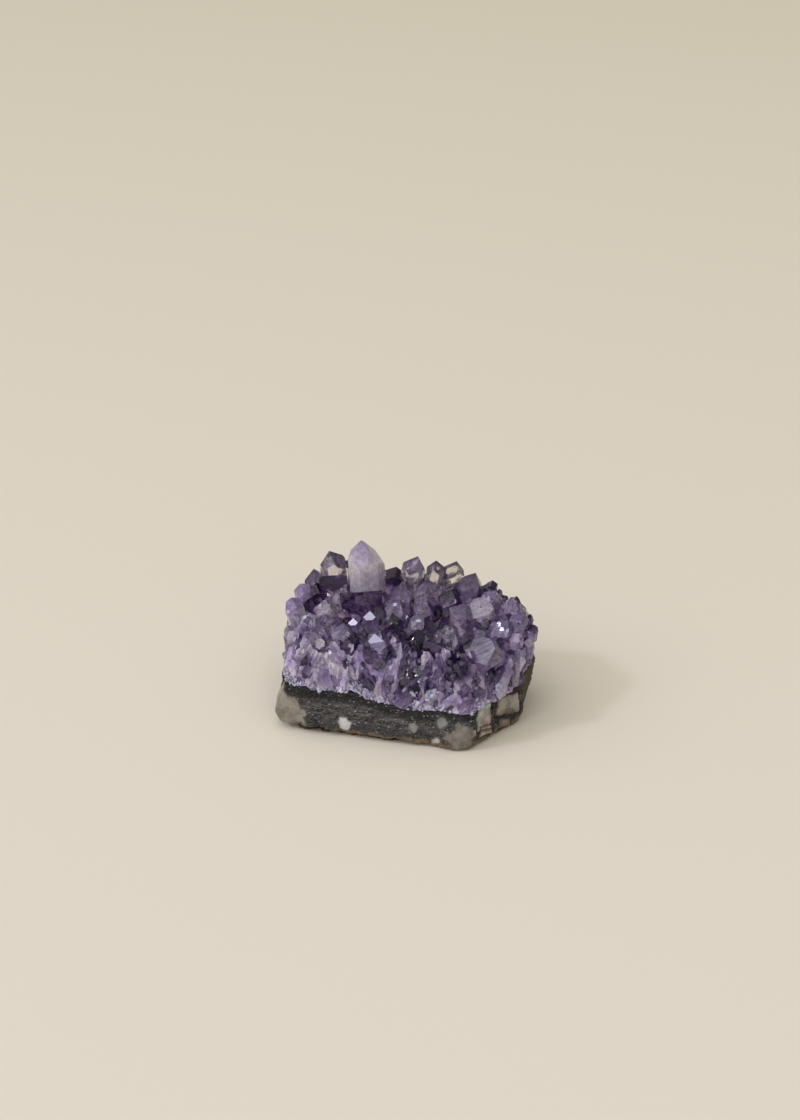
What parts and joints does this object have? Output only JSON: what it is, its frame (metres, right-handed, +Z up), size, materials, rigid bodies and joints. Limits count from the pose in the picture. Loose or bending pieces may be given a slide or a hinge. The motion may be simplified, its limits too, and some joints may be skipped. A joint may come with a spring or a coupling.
{
  "type": "amethyst cluster",
  "caption": "Slab of dark basalt with a crust of purple quartz points grown on its top face, resting on its flat underside.",
  "frame": {"origin": "on the floor under the middle of the stone, at the bottom centre of its bounding box", "axes": "+X along the long broken front face, left to right as seen from the front; +Y from the front to the back; +Z up, the way the points grow"},
  "size_m": [0.0629, 0.0434, 0.0399],
  "materials": {
    "basalt": "rough broken volcanic rock, dark grey with pale specks",
    "amethyst": "clear purple quartz with flat shining faces, milky lavender at the root"
  },
  "bodies": {
    "root": {"basalt_matrix": "basalt", "amethyst_crystals": "amethyst"}
  },
  "joints": []
}
